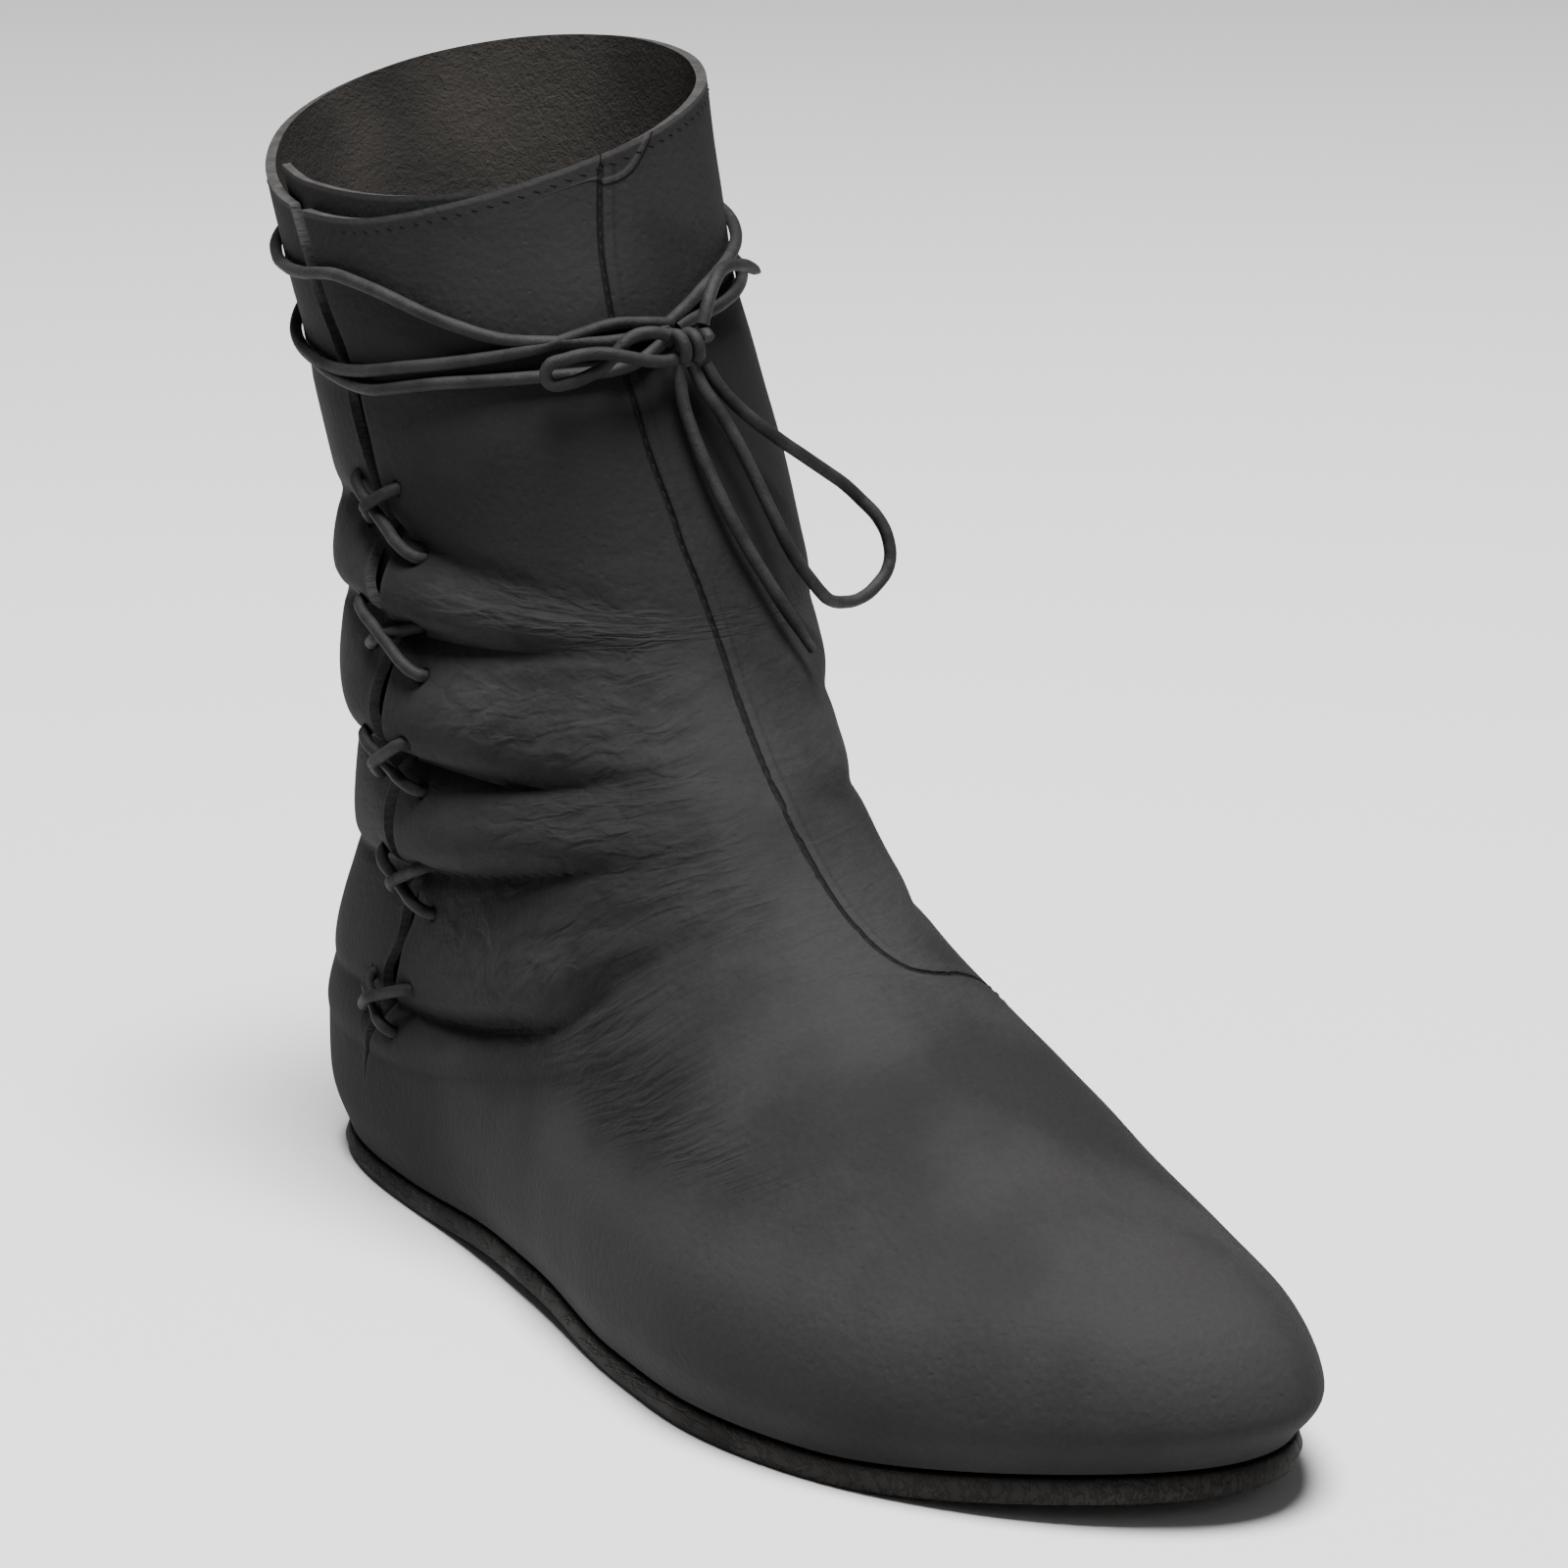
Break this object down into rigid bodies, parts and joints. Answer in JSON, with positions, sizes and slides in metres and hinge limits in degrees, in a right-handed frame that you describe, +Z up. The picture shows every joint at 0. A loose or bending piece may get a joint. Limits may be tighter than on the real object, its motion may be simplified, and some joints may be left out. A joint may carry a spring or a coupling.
{
  "type": "medieval ankle boot",
  "caption": "Hollow soft leather ankle boot for the right foot, with a thin turned sole, a slit laced on its outer side and a cord wrapped and tied round the shaft.",
  "frame": {"origin": "on the floor under the middle of the boot's solids, cords left out", "axes": "+X towards the toe, +Y towards the wearer's left, which is the inner side, +Z up from the floor"},
  "size_m": [0.3006, 0.0978, 0.2127],
  "materials": {
    "upper_leather": "matte near-black leather with a soft sheen",
    "sole_leather": "worn dark sole leather",
    "insole_leather": "bare brown leather",
    "tongue_leather": "matte near-black leather",
    "lace_leather": "dark grey leather cord"
  },
  "bodies": {
    "root": {"upper": "upper_leather", "outsole": "sole_leather", "insole": "insole_leather", "tongue": "tongue_leather", "lace_cross_1": "lace_leather", "lace_cross_2": "lace_leather", "lace_cross_3": "lace_leather", "lace_cross_4": "lace_leather", "lace_cross_5": "lace_leather", "lace_wrap": "lace_leather", "lace_knot": "lace_leather", "bow_loop_outer": "lace_leather", "bow_loop_inner": "lace_leather", "lace_end_low": "lace_leather", "lace_end_high": "lace_leather"}
  },
  "joints": []
}
